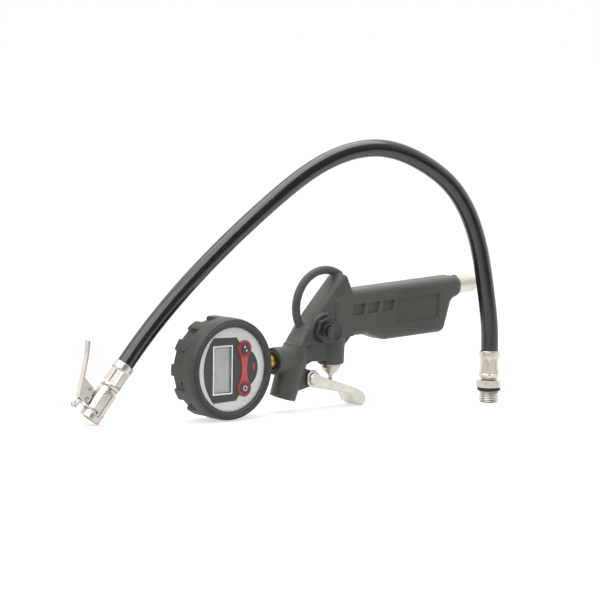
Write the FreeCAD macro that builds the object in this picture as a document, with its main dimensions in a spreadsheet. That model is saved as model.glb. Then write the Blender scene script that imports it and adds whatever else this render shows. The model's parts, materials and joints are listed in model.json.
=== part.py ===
import FreeCAD, Part
import os
import re
import Sketcher
from FreeCAD import Placement, Rotation, Vector

# Pistol-grip tyre inflator: a cast gun with a digital gauge screwed to its front socket, and a
# separate hose assembly with a clip-on chuck. X runs along the gun to the air inlet, Y goes away
# from the display side, Z is up and the floor is Z = 0. The origin is the middle of the floor print.

doc = FreeCAD.newDocument("TyreInflator")
sheet = doc.addObject("Spreadsheet::Sheet", "Sizes")

SIZES = (
    ("datum_x", -70.32, "gauge centre along X"),
    ("datum_y", 10.94, "mid-plane of the gun along Y"),
    ("run_gap", 0.06, "radial running clearance"),
    # gun casting
    ("plate_t", 18.4, "front plate thickness"),
    ("web_deep", 4.0, "recess of the web between nose and valve column"),
    ("handle_t", 20.0, "handle thickness"),
    ("soft_r", 5.2, "soft edge of the casting"),
    ("nose_x", 53.2, "centre of the hose outlet mouth"),
    ("nose_z", 9.1, "height of the hose outlet mouth"),
    ("nose_tilt", 19.5, "forward lean of the nose tube, degrees"),
    ("nose_r", 8.8, "nose tube at its mouth"),
    ("nose_top_r", 9.8, "nose tube at its root"),
    ("outlet_r", 6.6, "G1/4 outlet thread, major radius"),
    ("outlet_deep", 11.0, "outlet thread depth"),
    ("socket_x", 44.4, "mouth of the gauge socket"),
    ("socket_r", 9.15, "gauge socket outside"),
    ("column_x", 95.0, "axis of the trigger valve"),
    ("boss_z", 29.1, "underside of the valve boss"),
    ("boss_r", 9.0, "valve boss at its mouth"),
    ("column_r", 10.4, "valve column at the handle"),
    ("column_top", 77.0, "top of the valve column"),
    ("gland_r", 6.05, "gland thread bore"),
    ("chamber_r", 5.6, "outlet chamber bore"),
    ("feed_r", 4.9, "pressure chamber bore"),
    ("seat_z", 50.1, "top of the valve seat"),
    ("pass_z", 41.4, "height of the cross passage"),
    ("pass_r", 2.5, "cross passage"),
    ("pivot_x", 74.4, "trigger pin along the gun"),
    ("pivot_z", 21.1, "trigger pin height"),
    ("pin_r", 2.0, "trigger pin"),
    ("lug_r", 5.2, "eye of the trigger lug"),
    ("lug_t", 10.4, "lug thickness"),
    ("deflate_x", 80.3, "deflate valve along the gun"),
    ("deflate_z", 54.7, "deflate valve height at the near face"),
    ("deflate_tilt", 10.5, "downward lean of the deflate valve, degrees"),
    ("deflate_r", 5.0, "deflate valve bore"),
    ("inlet_x", 207.0, "rear face of the handle"),
    ("inlet_z", 75.9, "height of the inlet at the rear face"),
    ("inlet_r", 4.9, "inlet thread bore"),
    ("handle_rise", 2.5, "rise of the handle to the rear, degrees"),
    ("hook_x", 88.5, "centre of the hanging hook"),
    ("hook_z", 68.1, "centre height of the hanging hook"),
    ("hook_r", 24.3, "hook centreline"),
    ("hook_rod_r", 2.8, "hook rod"),
    # gauge
    ("boot_r", 33.4, "rubber boot outside, also the height of the gauge centre"),
    ("boot_back", -22.0, "back of the boot, from the face"),
    ("face_gap", 12.0, "gauge face in front of the gun's mid-plane"),
    ("face_r", 27.3, "visible face"),
    ("case_r", 28.5, "gauge case outside"),
    ("case_back", -20.0, "back of the case, from the face"),
    ("case_wall", 1.8, "gauge case wall"),
    ("rib_count", 12, "pockets round the boot"),
    ("pocket_deep", 3.0, "depth of a boot pocket"),
    ("stem_rise", 0.9, "stem above the gauge centre"),
    ("stem_r", 5.68, "gauge stem thread, outside"),
    ("neck_r", 4.7, "stem between the boot and the socket"),
    ("stem_end", 57.0, "inner end of the stem"),
    ("lcd_x", -7.2, "display window centre, along the gun"),
    ("lcd_w", 16.5, "display window width along the gun"),
    ("lcd_tall", 32.2, "display window height"),
    ("key_x", 10.4, "buttons, along the gun"),
    ("key_y", 12.9, "buttons, up and down from the centre"),
    ("key_r", 3.45, "button head"),
    ("key_ring_r", 5.5, "button surround"),
    ("cell_r", 5.25, "battery cell radius"),
    ("cell_len", 44.5, "battery cell length"),
    ("post_r", 24.0, "circle of the cover screws"),
    # hose assembly
    ("hose_x", -81.4, "chuck end of the hose plane, from the gauge centre"),
    ("hose_y", 24.6, "chuck end of the hose plane, from the mid-plane"),
    ("hose_turn", 14.05, "turn of the hose plane, degrees"),
    ("hose_span", 288.6, "from the chuck to the end fitting"),
    ("hose_r", 5.85, "hose outside"),
    ("liner_r", 3.9, "hose liner outside"),
    ("hose_bore", 3.45, "hose bore"),
    ("thread_r", 6.58, "G1/4 end thread, major radius"),
    ("thread_len", 8.3, "end thread length"),
    ("mouth_u", -5.2, "chuck mouth centre along the hose plane"),
    ("mouth_z", 4.045, "chuck mouth centre height"),
    ("chuck_tilt", 36.5, "lean of the chuck, degrees"),
    ("chuck_r", 7.3, "chuck body outside"),
    ("chuck_len", 21.6, "chuck body length"),
    ("valve_hole_r", 4.2, "mouth bore, for a tyre valve stem"),
    ("ferrule_r", 7.25, "crimped ferrule outside"),
    ("ferrule_len", 18.7, "crimped ferrule length"),
    ("grip_x", -9.2, "chuck lever pin, across from the chuck axis"),
    ("grip_z", 9.3, "chuck lever pin, along the chuck axis"),
)
ALIASES = {alias for alias, _size, _note in SIZES}


def fill_sheet():
    """Every driving size, one per row: name, value and what it is."""
    for row, (alias, size, note) in enumerate(SIZES, start=1):
        sheet.set("A%d" % row, alias)
        sheet.set("B%d" % row, str(size))
        sheet.set("C%d" % row, note)
        sheet.setAlias("B%d" % row, alias)
    doc.recompute()


def number(formula):
    """What a formula over the sheet's names gives now."""
    return float(sheet.evalExpression(str(formula)))


def linked(formula):
    """The formula with the sheet's own name put before each of its names."""
    return re.sub(r"[a-z_]+", lambda word: "Sizes." + word[0] if word[0] in ALIASES else word[0], str(formula))


def bind(thing, path, formula):
    thing.setExpression(path, linked(formula))


def new_body(label):
    body = doc.addObject("PartDesign::Body", label)
    body.Label = label
    return body


def attach(body, thing, role, right=0, up=0, out=0, turn=0):
    """Lays a sketch or primitive on one of its body's own planes, shifted and turned on it."""
    plane = next(item for item in body.Origin.OriginFeatures if item.Role == role)
    thing.AttachmentSupport = [(plane, "")]
    thing.MapMode = "FlatFace"
    thing.AttachmentOffset = Placement(Vector(0, 0, 0), Rotation(Vector(0, 0, 1), number(turn)))
    for axis, formula in (("x", right), ("y", up), ("z", out)):
        bind(thing, "AttachmentOffset.Base." + axis, formula)


def sketch_on(body, role, right=0, up=0, out=0, turn=0):
    sketch = body.newObject("Sketcher::SketchObject", "Sketch")
    attach(body, sketch, role, right, up, out, turn)
    return sketch


def pin_down(sketch, kind, piece, point, formula):
    """One distance from the sketch's origin, driven by the sheet."""
    index = sketch.addConstraint(Sketcher.Constraint(kind, -1, 1, piece, point, number(formula)))
    bind(sketch, "Constraints[%d]" % index, formula)


def end_at(sketch, piece, spot):
    """Which end of a piece lies at the spot: 1 or 2."""
    return 1 if (sketch.getPoint(piece, 1) - spot).Length < 0.001 else 2


def outline(sketch, corners):
    """A closed outline through the corners: (across, along), with a third value where an arc
    that stands out by that much to the right of the way, instead of a straight line, follows the corner."""
    spots = [Vector(number(corner[0]), number(corner[1]), 0) for corner in corners]
    pieces = []
    for corner, start, end in zip(corners, spots, spots[1:] + spots[:1]):
        way = end - start
        if len(corner) == 3:
            top = (start + end) * 0.5 + Vector(way.y, -way.x, 0).normalize() * corner[2]
            pieces.append(sketch.addGeometry(Part.Arc(start, top, end), False))
            radius = (way.Length ** 2 / 4 + corner[2] ** 2) / abs(corner[2]) / 2
            sketch.addConstraint(Sketcher.Constraint("Radius", pieces[-1], radius))
        else:
            pieces.append(sketch.addGeometry(Part.LineSegment(start, end), False))
    for piece, following, spot, corner in zip(pieces, pieces[1:] + pieces[:1], spots[1:] + spots[:1],
                                              corners[1:] + corners[:1]):
        near = end_at(sketch, following, spot)
        sketch.addConstraint(Sketcher.Constraint("Coincident", piece, end_at(sketch, piece, spot), following, near))
        pin_down(sketch, "DistanceX", following, near, corner[0])
        pin_down(sketch, "DistanceY", following, near, corner[1])


def circle(sketch, across, along, radius):
    centre = Vector(number(across), number(along), 0)
    piece = sketch.addGeometry(Part.Circle(centre, Vector(0, 0, 1), number(radius)), False)
    pin_down(sketch, "DistanceX", piece, 3, across)
    pin_down(sketch, "DistanceY", piece, 3, along)
    index = sketch.addConstraint(Sketcher.Constraint("Radius", piece, number(radius)))
    bind(sketch, "Constraints[%d]" % index, radius)


def rectangle(sketch, left, low, right, high):
    outline(sketch, ((left, low), (right, low), (right, high), (left, high)))


def settle(body, cuts, volume):
    """Recomputes, and stops if the last feature took nothing away or added nothing."""
    doc.recompute()
    change = body.Shape.Volume - volume
    if (change > -0.01) if cuts else (change < 0.01):
        raise RuntimeError("%s: the last feature changed nothing" % body.Label)


def volume_of(body):
    return body.Shape.Volume if body.Tip and not body.Shape.isNull() else 0.0


def turned(body, corners, kind="Revolution", role="XZ_Plane", **where):
    """Adds (Revolution) or cuts (Groove) a turned shape: corners are (radius, along the axis)."""
    volume = volume_of(body)
    sketch = sketch_on(body, role, **where)
    outline(sketch, corners)
    feature = body.newObject("PartDesign::" + kind, kind)
    feature.Profile = sketch
    feature.ReferenceAxis = (sketch, ["V_Axis"])
    feature.Angle = 360
    settle(body, kind == "Groove", volume)
    return feature


def pushed(body, draw, length, kind="Pad", role="XY_Plane", side="One side", back=False, **where):
    """Adds (Pad) or cuts (Pocket) a straight shape; draw fills the sketch."""
    volume = volume_of(body)
    sketch = sketch_on(body, role, **where)
    draw(sketch)
    feature = body.newObject("PartDesign::" + kind, kind)
    feature.Profile = sketch
    feature.SideType = side
    feature.Reversed = back
    bind(feature, "Length", length)
    settle(body, kind == "Pocket", volume)
    return feature


def rounded(body, radius, wanted):
    """Fillets the edges of the body that the wanted test picks."""
    base = body.Tip
    names = ["Edge%d" % (i + 1) for i, edge in enumerate(base.Shape.Edges) if wanted(edge)]
    if not names:
        raise RuntimeError("%s: no edge to round" % body.Label)
    fillet = body.newObject("PartDesign::Fillet", "Fillet")
    fillet.Base = (base, names)
    bind(fillet, "Radius", radius)
    doc.recompute()
    if "Invalid" in fillet.State:
        raise RuntimeError("%s: %s" % (body.Label, fillet.getStatusString()))


def corner_edge(across, along):
    """Picks the edge that runs straight through the side face at this corner (in X and Z)."""
    def test(edge):
        first, last = edge.Vertexes[0].Point, edge.Vertexes[-1].Point
        near = all(abs(end.x - across) < 0.05 and abs(end.z - along) < 0.05 for end in (first, last))
        return near and abs(first.y - last.y) > 1
    return test


def rim_edge(side):
    """Picks every edge that lies on either side face, at this distance from the mid-plane."""
    def test(edge):
        return all(abs(abs(end.Point.y) - side) < 0.01 for end in edge.Vertexes) and (
            abs(edge.Vertexes[0].Point.y - edge.Vertexes[-1].Point.y) < 0.01)
    return test


def turned_part(label, frame, corners):
    body = new_body(label)
    turned(body, corners)
    body.Placement = frame
    return body


def hexagon(sketch, across_flats):
    radius = "%s / 2 / cos(30)" % across_flats
    outline(sketch, [("%s * cos(%d)" % (radius, turn), "%s * sin(%d)" % (radius, turn))
                     for turn in range(0, 360, 60)])


def coil(label, frame, radius, wire, height, pitch):
    """A compression spring standing on its frame's origin."""
    body = new_body(label)
    sketch = sketch_on(body, "XZ_Plane")
    circle(sketch, radius, 0, wire)
    feature = body.newObject("PartDesign::AdditiveHelix", "Coil")
    feature.Profile = sketch
    feature.ReferenceAxis = (sketch, ["V_Axis"])
    feature.Mode = "pitch-height-angle"
    feature.Pitch = pitch
    bind(feature, "Height", height)
    body.Placement = frame
    doc.recompute()
    return body


def ring_seal(label, frame, centre_radius, section_radius):
    ring = doc.addObject("Part::Torus", label)
    ring.Label = label
    bind(ring, "Radius1", centre_radius)
    bind(ring, "Radius2", section_radius)
    ring.Placement = frame
    return ring


def group(label, members, frame):
    """One node of several equal loose pieces."""
    compound = doc.addObject("Part::Compound", label)
    compound.Label = label
    compound.Links = members
    compound.Placement = frame
    return compound


def shift(across, along, up, axis=(0, 0, 1), angle=0):
    spot = Vector(number(across), number(along), number(up))
    return Placement(spot, Rotation(Vector(*axis), number(angle)))


fill_sheet()
SIDE = (1, 0, 0)   # turning axes for the frames below
DEEP = (0, 1, 0)
UP = (0, 0, 1)
GUN = shift("datum_x", "datum_y", 0)
GAUGE = GUN * shift(0, "-face_gap", "boot_r", SIDE, 90)
STEM = GUN * shift(0, 0, "boot_r + stem_rise", DEEP, 90)
COLUMN = GUN * shift("column_x", 0, 0)
DEFLATE = GUN * shift("deflate_x", "-handle_t / 2", "deflate_z", SIDE, "90 + deflate_tilt")
INLET = GUN * shift("inlet_x", 0, "inlet_z", DEEP, "90 - handle_rise")
PIVOT = GUN * shift("pivot_x", 0, "pivot_z", SIDE, 90)
HOSE = GUN * shift("hose_x", "hose_y", 0, UP, "-hose_turn")
CHUCK = HOSE * shift("mouth_u", 0, "mouth_z", DEEP, "chuck_tilt")
GRIP = CHUCK * shift("grip_x", 0, "grip_z", SIDE, 90)
TAIL = HOSE * shift("hose_span", 0, 0)


# ---------------------------------------------------------------- gun casting

def handle_block():
    """The handle with its grip block, later joined into the casting."""
    body = new_body("handle_block")
    corners = ((91, 47), (121.3, 47.7), (137, 42.8), (190.6, 44.8), (197.5, 66.5),
               ("inlet_x", 70), ("inlet_x", 82.8), (97, 77.8), (91, 71))
    pushed(body, lambda sketch: outline(sketch, corners), "handle_t", role="XZ_Plane", side="Symmetric")
    for across, along, radius in ((121.3, 47.7, 8), (137, 42.8, 8), (190.6, 44.8, 6), (197.5, 66.5, 6),
                                  (number("inlet_x"), 70, 5.5), (number("inlet_x"), 82.8, 6.2)):
        rounded(body, radius, corner_edge(across, along))
    rim = rim_edge(number("handle_t / 2"))
    rounded(body, "soft_r", lambda edge: rim(edge) and max(end.Point.x for end in edge.Vertexes) > 98)
    return body


def front_plate(body):
    """The flat front of the casting, between the nose tube, the hook and the valve column."""
    corners = ((58, 34), (62.6, 49), (65.4, 55.7), (69.6, 59.6), (74.2, 65.7), (97.8, 90.1), (102.4, 88.4),
               (106.2, 80.2), (110.5, 74), (110.5, 49), (103.5, 42.2), (102, 38), (86, 31.9), (74, 32.2), (62, 27))
    pushed(body, lambda sketch: outline(sketch, corners), "plate_t", role="XZ_Plane", side="Symmetric")
    for across, along, radius in ((97.8, 90.1, 2.5), (102.4, 88.4, 3)):
        rounded(body, radius, corner_edge(across, along))
    rounded(body, 3, rim_edge(number("plate_t / 2")))
    web = ((59, 24), (66.4, 44.5), (88, 44.5), (88, 47.4), (114, 47.4), (114, 28))
    for near in (True, False):
        pushed(body, lambda sketch: outline(sketch, web), "web_deep", kind="Pocket", role="XZ_Plane",
               back=not near, out="plate_t / 2" if near else "-plate_t / 2")


def tubes(body):
    """Nose tube, gauge socket, valve column and the pad under the deflate valve."""
    turned(body, ((0, 0), ("nose_r", 0), ("nose_top_r", 26), (9, 36), (0, 38)),
           right="nose_x", up="nose_z", turn="-nose_tilt")
    turned(body, ((0, 0), ("socket_r - 0.6", 0), ("socket_r", 0.6), ("socket_r", 17), (0, 17)),
           right="socket_x", up="boot_r + stem_rise", turn=-90)
    turned(body, ((0, "boss_z"), ("boss_r - 0.7", "boss_z"), ("boss_r", "boss_z + 0.7"),
                  ("column_r", "column_top - 5"), ("column_r - 3", "column_top"), (0, "column_top + 1")),
           right="column_x")
    turned(body, ((0, 0), (9.6, 0), (10, 0.4), (10, 8), (0, 8)), role="YZ_Plane", out="deflate_x",
           right="-handle_t / 2", up="deflate_z", turn="deflate_tilt - 90")


def trigger_lug(body):
    corners = ((58, 12.5), ("pivot_x", "pivot_z - lug_r"), ("pivot_x", "pivot_z + lug_r"), (60, 31))
    pushed(body, lambda sketch: outline(sketch, corners), "lug_t", role="XZ_Plane", side="Symmetric")
    pushed(body, lambda sketch: circle(sketch, "pivot_x", "pivot_z", "lug_r"), "lug_t", role="XZ_Plane",
           side="Symmetric")
    pushed(body, lambda sketch: circle(sketch, "pivot_x", "pivot_z", "pin_r + 0.02"), "lug_t + 2",
           kind="Pocket", role="XZ_Plane", side="Symmetric")


def hanging_hook(body):
    """A round rod bent over the sloping edge, with both ends cast in."""
    start = 58
    hook = body.newObject("PartDesign::AdditiveTorus", "Hook")
    attach(body, hook, "XZ_Plane", "hook_x", "hook_z", 0, start)
    bind(hook, "Radius1", "hook_r")
    bind(hook, "Radius2", "hook_rod_r")
    hook.Angle3 = 212 - start
    knob = body.newObject("PartDesign::AdditiveSphere", "HookEnd")
    attach(body, knob, "XZ_Plane", "hook_x + hook_r * cos(%d)" % start, "hook_z + hook_r * sin(%d)" % start)
    bind(knob, "Radius", "hook_rod_r")
    doc.recompute()


def air_ways(body):
    """Outlet, gauge socket, valve bore, cross passage, inlet and deflate bore, all meeting inside."""
    turned(body, ((0, -1), ("outlet_r + 0.8", -1), ("outlet_r + 0.8", 0), ("outlet_r", 0.8),
                  ("outlet_r", "outlet_deep"), (3.5, "outlet_deep + 1.8"), (3.5, 34), (0, 34)),
           kind="Groove", right="nose_x", up="nose_z", turn="-nose_tilt")
    turned(body, ((0, -1), (7.75, -1), (7.75, 2.2), ("stem_r + run_gap", 2.2), ("stem_r + run_gap", 13),
                  (2, 14), (2, 18), (0, 18)),
           kind="Groove", right="socket_x", up="boot_r + stem_rise", turn=-90)
    turned(body, ((0, "boss_z - 1"), ("gland_r", "boss_z - 1"), ("gland_r", "boss_z + 7"),
                  ("chamber_r", "boss_z + 7"), ("chamber_r", "seat_z"), ("feed_r", "seat_z"),
                  ("feed_r", "seat_z + 22"), (0, "seat_z + 24")), kind="Groove", right="column_x")
    turned(body, ((0, 0), ("pass_r", 0), ("pass_r", 30), (0, 30)), kind="Groove", right=62, up="pass_z", turn=-90)
    turned(body, ((0, -1), ("inlet_r", -1), ("inlet_r", 12), (3, 13.5), (3, "inlet_x - column_x - 2"),
                  (0, "inlet_x - column_x - 2")),
           kind="Groove", right="inlet_x", up="inlet_z", turn="90 + handle_rise")
    turned(body, ((0, -5), (9.6, -5), (9.6, 0), ("deflate_r", 0), ("deflate_r", 14), (0, 15)), kind="Groove",
           role="YZ_Plane",
           out="deflate_x", right="-handle_t / 2", up="deflate_z", turn="deflate_tilt - 90")
    turned(body, ((0, "pass_z"), (2, "pass_z"), (2, "deflate_z"), (0, "deflate_z")), kind="Groove",
           right="deflate_x")


def side_recesses(body):
    """Three slanted windows at the neck and a plain panel on the grip, on both sides."""
    step = 13.2
    for near in (True, False):
        out = "handle_t / 2" if near else "-handle_t / 2"
        for window in range(3):
            left, low = 105.6 + step * window, 61.6 + 0.55 * window
            corners = ((left, low), (left + 9.4, low + 0.3), (left + 11, low + 7.5), (left + 0.8, low + 7.1))
            pushed(body, lambda sketch: outline(sketch, corners), 1.7, kind="Pocket", role="XZ_Plane",
                   back=not near, out=out)
        corners = ((146.1, 52.9), (182, 54.4), (183.6, 56.1), (184.7, 70.8), (183.2, 72.3), (147.1, 70.8),
                   (145.4, 69.1), (144.5, 54.5))
        pushed(body, lambda sketch: outline(sketch, corners), 1.2, kind="Pocket", role="XZ_Plane",
               back=not near, out=out)


def gun_body():
    body = new_body("gun_body")
    front_plate(body)
    handle = handle_block()
    tubes(body)
    join = body.newObject("PartDesign::Boolean", "JoinHandle")
    join.setObjects([handle])
    join.Type = "Fuse"
    doc.recompute()
    trigger_lug(body)
    hanging_hook(body)
    air_ways(body)
    side_recesses(body)
    body.Placement = GUN
    return body


# ---------------------------------------------------------------- trigger and its valve

def trigger_lever():
    """A pressed channel, open below, that curls down at the finger end."""
    body = new_body("trigger_lever")
    skin = ((68.9, 17.4), (74.4, 14.9), (107.4, 8.6), (110.5, 2.6), (114.5, 0.4), (117.2, 0), (119.9, 1.5),
            (120.8, 4.4), (119, 8.2), (114.9, 10.9), (103.7, 14.9), (80.5, 22.4), (76.5, 26.9), (72.3, 26.9),
            (68.9, 24))
    pushed(body, lambda sketch: outline(sketch, skin), 15.6, role="XZ_Plane", side="Symmetric")
    for across, along, radius in ((68.9, 17.4, 3), (68.9, 24, 3), (72.3, 26.9, 2), (76.5, 26.9, 2), (80.5, 22.4, 6),
                                  (114.9, 10.9, 8), (107.4, 8.6, 3), (119, 8.2, 4), (120.8, 4.4, 2)):
        rounded(body, radius, corner_edge(across, along))
    rounded(body, 0.9, rim_edge(7.8))
    hollow = ((67, 12), (100, 5.5), (105, 9.6), (103, 12.4), (84, 18.6), (84, 32), (67, 32))
    pushed(body, lambda sketch: outline(sketch, hollow), 11, kind="Pocket", role="XZ_Plane", side="Symmetric")
    pushed(body, lambda sketch: circle(sketch, "pivot_x", "pivot_z", "pin_r + run_gap"), 20, kind="Pocket",
           role="XZ_Plane", side="Symmetric")
    body.Placement = GUN
    return body


def trigger_pin():
    return turned_part("trigger_pin", PIVOT, ((0, -9.4), ("pin_r - 0.3", -9.4), ("pin_r", -9.1), ("pin_r", 7.9),
                                              (4.2, 7.9), (4.2, 8.9), (3.6, 9.5), (0, 9.5)))


def pin_clip():
    """Spring clip on the far end of the trigger pin."""
    return turned_part("pin_clip", PIVOT, (("pin_r", -8.7), (3.6, -8.7), (3.6, -7.9), ("pin_r", -7.9)))


def valve_gland():
    """Hexagonal gland that closes the valve bore and guides the stem."""
    body = turned_part("valve_gland", COLUMN, (
        (1.75, "boss_z - 7"), (3.2, "boss_z - 7"), (3.4, "boss_z - 5.6"), (4.9, "boss_z - 5.4"),
        (7.4, "boss_z - 1"), (7.4, "boss_z"), ("gland_r", "boss_z"), ("gland_r", "boss_z + 6.9"),
        (3, "boss_z + 6.9"), (3, "boss_z + 4"), (1.75, "boss_z + 4")))
    def flats(sketch):
        circle(sketch, 0, 0, 12)
        hexagon(sketch, 12.4)
    pushed(body, flats, 6.2, kind="Pocket", out="boss_z - 1", back=False)
    return body


def valve_parts():
    """Seat bush, stem with its head, the rubber face that seals, the spring above it and the stem seal."""
    turned_part("valve_seat", COLUMN, ((2.6, "seat_z - 4"), ("chamber_r", "seat_z - 4"), ("chamber_r", "seat_z"),
                                       (3.6, "seat_z"), (3.3, "seat_z + 0.5"), (2.6, "seat_z + 0.5")))
    turned_part("valve_stem", COLUMN, (
        (0, 17.82, 0.469), (1.6, 19.42), (1.6, "seat_z + 1.8"), (4, "seat_z + 1.8"),
        (4, "seat_z + 3.2"), (2, "seat_z + 3.2"), (2, "seat_z + 6"), (0, "seat_z + 6")))
    turned_part("valve_washer", COLUMN, ((1.6, "seat_z + 0.55"), (4, "seat_z + 0.55"), (4, "seat_z + 1.8"),
                                         (1.6, "seat_z + 1.8")))
    coil("valve_spring", COLUMN * shift(0, 0, "seat_z + 3.6"), 3, 0.35, 17.6, 2.2)
    ring_seal("stem_seal", COLUMN * shift(0, 0, "boss_z + 5.2"), 2.35, 0.65)


# ---------------------------------------------------------------- deflate valve

def deflate_valve():
    """Black hexagonal bonnet, dished push button on a rod, its disc, and the spring behind."""
    body = turned_part("deflate_bonnet", DEFLATE, (
        (3.2, -6), ("deflate_r - 0.02", -6), ("deflate_r - 0.02", 0.02), (9.2, 0.02), (9.2, 1), (9.25, 1.01),
        (9.25, 4), (8.4, 4.6), (5.2, 4.6), (5, 5.6), (4.4, 6.2), (3.2, 6.2)))
    def flats(sketch):
        circle(sketch, 0, 0, 14)
        hexagon(sketch, 16)
    pushed(body, flats, 3.6, kind="Pocket", out=1, back=True, turn=20)
    turned_part("deflate_button", DEFLATE, (
        (0, -9), (1.5, -9), (1.5, -1), (3.1, -1), (3.1, 9.7), (4.8, 10.3), (6.2, 11.3), (6.2, 12.2), (5.7, 12.5),
        (4.2, 12), (0, 11.2)))
    turned_part("deflate_disc", DEFLATE, ((1.5, -7.6), (3.9, -7.6), (3.9, -6.05), (1.5, -6.05)))
    coil("deflate_spring", DEFLATE * shift(0, 0, -13.6), 2.6, 0.3, 3, 0.9)


# ---------------------------------------------------------------- inlet

def inlet_parts():
    """Quick-coupling plug, the washer under its collar and the strainer inside it."""
    turned_part("inlet_plug", INLET, (
        (2.4, -11), ("inlet_r", -11), ("inlet_r", 1.3), (6.5, 1.3), (6.5, 15.4), (5.9, 16.4), (4, 17.6), (4, 21),
        (5.2, 22.2), (5.2, 24.6), (3.9, 26), (3.9, 31), (3.3, 32.2), (2.4, 32.2), (2.4, 20), (3.2, 19), (3.2, -6),
        (2.4, -6)))
    turned_part("inlet_washer", INLET, (("inlet_r", 0.3), (6.7, 0.3), (6.7, 1.3), ("inlet_r", 1.3)))
    turned_part("inlet_strainer", INLET, ((0, 4), (2.2, 4), (3.15, -5.9), (3.15, -6), (2.9, -6), (2, 3.6), (0, 3.6)))


# ---------------------------------------------------------------- gauge

def gauge_boot():
    """Ribbed rubber cover with pockets that open at the back."""
    body = new_body("gauge_boot")
    turned(body, (("boot_r", -1.6), ("boot_r - 0.6", 1.2), (32.1, 2.2), (31.6, 1.6), (31.1, 2.6), (29.8, 3),
                  (28.3, 2.5), ("face_r", 0.9), ("face_r", 0.1),
                  ("case_r + 0.05", 0.1), ("case_r + 0.05", "case_back - 0.1"), (24.5, "case_back - 0.1"),
                  (24.5, "boot_back"), ("boot_r - 1.2", "boot_back"), ("boot_r", "boot_back + 1.2")))
    floor = "boot_r - pocket_deep"
    pocket = pushed(body, lambda sketch: outline(sketch, ((floor, -4.3), (36, -5.6), (36, 5.6), (floor, 4.3))),
                    13, kind="Pocket", out="boot_back", back=True, turn=15)
    pattern = body.newObject("PartDesign::PolarPattern", "Pockets")
    pattern.Originals = [pocket]
    pattern.Axis = (next(item for item in body.Origin.OriginFeatures if item.Role == "Z_Axis"), [""])
    pattern.Angle = 360
    bind(pattern, "Occurrences", "rib_count")
    body.Tip = pattern
    doc.recompute()
    pushed(body, lambda sketch: circle(sketch, "stem_rise", "-face_gap", "stem_r + 0.1"), 12, kind="Pocket",
           role="YZ_Plane", out=36)
    pushed(body, lambda sketch: circle(sketch, -8.6, -14.3, 0.9), 7.8, kind="Pocket", role="YZ_Plane", out=-36,
           back=True)
    body.Placement = GAUGE
    return body


def screw_spots():
    """The four cover screws, on the diagonals."""
    return [("post_r * cos(%d)" % turn, "post_r * sin(%d)" % turn) for turn in (45, 135, 225, 315)]


def gauge_case():
    """Cup that holds the electronics, with four screw posts and a hole for the stem."""
    body = new_body("gauge_case")
    turned(body, ((24.6, -1.7), ("case_r", -1.7), ("case_r", "case_back"), ("case_r - case_wall", "case_back"),
                  ("case_r - case_wall", -3.2), (24.6, -3.2)))
    for across, along in screw_spots():
        pushed(body, lambda sketch: circle(sketch, across, along, 2.6), 12.1, out=-6.1, back=True)
        pushed(body, lambda sketch: circle(sketch, across, along, 1.15), 9, kind="Pocket", out="case_back + 1.8",
               back=True)
    pushed(body, lambda sketch: circle(sketch, "stem_rise", "-face_gap", "stem_r + 0.02"), 8, kind="Pocket",
           role="YZ_Plane", out=31)
    body.Placement = GAUGE
    return body


def back_cover():
    body = new_body("back_cover")
    pushed(body, lambda sketch: circle(sketch, 0, 0, "case_r - case_wall - 0.1"), 1.6, out="case_back")
    for across, along in screw_spots():
        turned(body, ((0, "case_back - 1"), (2.2, "case_back - 1"), (2.2, "case_back + 0.3"),
                      (1.25, "case_back + 1.2"), (1.25, -15), (0, -15)), kind="Groove", right=across,
               out="-1 * (%s)" % along)
    body.Placement = GAUGE
    return body


def cover_screws():
    screws = []
    for turn in (45, 135, 225, 315):
        spot = shift("post_r * cos(%d)" % turn, "post_r * sin(%d)" % turn, 0)
        screws.append(turned_part("cover_screw_%d" % turn, spot, (
            (0, "case_back"), (2.15, "case_back"), (2.15, "case_back + 0.25"), (1.1, "case_back + 1.2"),
            (1.1, "case_back + 9.5"), (0, "case_back + 10"))))
    return group("cover_screws", screws, GAUGE)


def display_opening(sketch, grow=0):
    across, along = number("lcd_w / 2") + grow, number("lcd_tall / 2") + grow
    rectangle(sketch, "lcd_x - %s" % across, "-%s" % along, "lcd_x + %s" % across, along)


def waist(sketch, grow=0):
    """The strip that joins the two button rings, narrowest in the middle."""
    wide = 3.5 + grow
    outline(sketch, (("key_x - %s" % wide, -8.7), ("key_x + %s" % wide, -8.7, -1.5), ("key_x + %s" % wide, 8.7),
                     ("key_x - %s" % wide, 8.7, -1.5)))


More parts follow.
